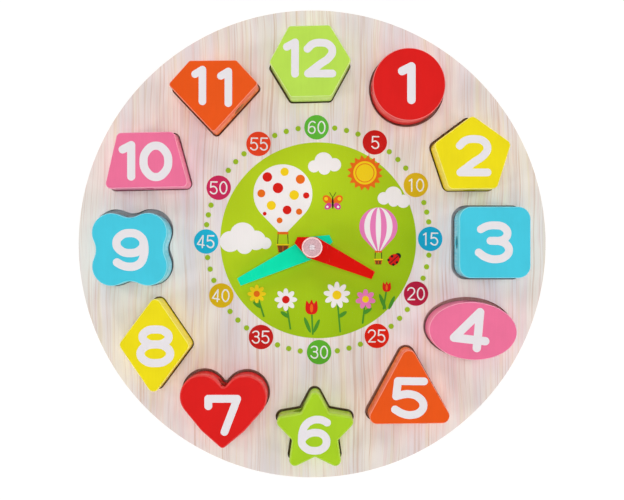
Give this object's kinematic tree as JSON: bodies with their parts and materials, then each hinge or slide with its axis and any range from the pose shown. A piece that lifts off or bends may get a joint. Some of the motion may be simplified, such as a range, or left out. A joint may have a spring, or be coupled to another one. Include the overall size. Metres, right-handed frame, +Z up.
{
  "type": "wooden learning clock",
  "caption": "Round wooden learning clock: a flat board with shaped, numbered lacing blocks in recesses and plastic hands on a centre pin.",
  "frame": {"origin": "centre of the round board's underside, on which the clock lies", "axes": "+Z up, out of the printed face; +Y towards 12 o'clock; +X towards 3 o'clock"},
  "size_m": [0.225, 0.225, 0.0193],
  "materials": {
    "plywood": "whitewashed, matt lacquer",
    "red": "satin paint",
    "yellow": "satin paint",
    "cyan": "satin paint",
    "pink": "satin paint",
    "orange": "satin paint",
    "lime": "satin paint",
    "mint": "glossy",
    "scarlet": "glossy",
    "milky": "milky, glossy",
    "nylon": "satin"
  },
  "bodies": {
    "board": {"back_board": "plywood", "face_board": "plywood", "hand_spacer": "nylon", "pivot_pin": "nylon", "hub_cap": "milky"},
    "minute_hand": {"minute_hand": "mint"},
    "hour_hand": {"hour_hand": "scarlet"},
    "block_01_circle": {"block_01_circle": "red"},
    "block_02_pentagon": {"block_02_pentagon": "yellow"},
    "block_03_square": {"block_03_square": "cyan"},
    "block_04_oval": {"block_04_oval": "pink"},
    "block_05_triangle": {"block_05_triangle": "orange"},
    "block_06_star": {"block_06_star": "lime"},
    "block_07_heart": {"block_07_heart": "red"},
    "block_08_rhombus": {"block_08_rhombus": "yellow"},
    "block_09_clover": {"block_09_clover": "cyan"},
    "block_10_trapezoid": {"block_10_trapezoid": "pink"},
    "block_11_gem": {"block_11_gem": "orange"},
    "block_12_hexagon": {"block_12_hexagon": "lime"}
  },
  "joints": [
    {"name": "minute_turn", "type": "hinge", "parent": "board", "child": "minute_hand", "pos_m": [0, -0.0017, 0.0096], "axis": [0, 0, 1], "continuous": true},
    {"name": "hour_turn", "type": "hinge", "parent": "board", "child": "hour_hand", "pos_m": [0, -0.0017, 0.0117], "axis": [0, 0, 1], "continuous": true},
    {"name": "lift_01_circle", "type": "slide", "parent": "board", "child": "block_01_circle", "axis": [0, 0, 1], "range_m": [0, 0.04]},
    {"name": "lift_02_pentagon", "type": "slide", "parent": "board", "child": "block_02_pentagon", "axis": [0, 0, 1], "range_m": [0, 0.04]},
    {"name": "lift_03_square", "type": "slide", "parent": "board", "child": "block_03_square", "axis": [0, 0, 1], "range_m": [0, 0.04]},
    {"name": "lift_04_oval", "type": "slide", "parent": "board", "child": "block_04_oval", "axis": [0, 0, 1], "range_m": [0, 0.04]},
    {"name": "lift_05_triangle", "type": "slide", "parent": "board", "child": "block_05_triangle", "axis": [0, 0, 1], "range_m": [0, 0.04]},
    {"name": "lift_06_star", "type": "slide", "parent": "board", "child": "block_06_star", "axis": [0, 0, 1], "range_m": [0, 0.04]},
    {"name": "lift_07_heart", "type": "slide", "parent": "board", "child": "block_07_heart", "axis": [0, 0, 1], "range_m": [0, 0.04]},
    {"name": "lift_08_rhombus", "type": "slide", "parent": "board", "child": "block_08_rhombus", "axis": [0, 0, 1], "range_m": [0, 0.04]},
    {"name": "lift_09_clover", "type": "slide", "parent": "board", "child": "block_09_clover", "axis": [0, 0, 1], "range_m": [0, 0.04]},
    {"name": "lift_10_trapezoid", "type": "slide", "parent": "board", "child": "block_10_trapezoid", "axis": [0, 0, 1], "range_m": [0, 0.04]},
    {"name": "lift_11_gem", "type": "slide", "parent": "board", "child": "block_11_gem", "axis": [0, 0, 1], "range_m": [0, 0.04]},
    {"name": "lift_12_hexagon", "type": "slide", "parent": "board", "child": "block_12_hexagon", "axis": [0, 0, 1], "range_m": [0, 0.04]}
  ]
}
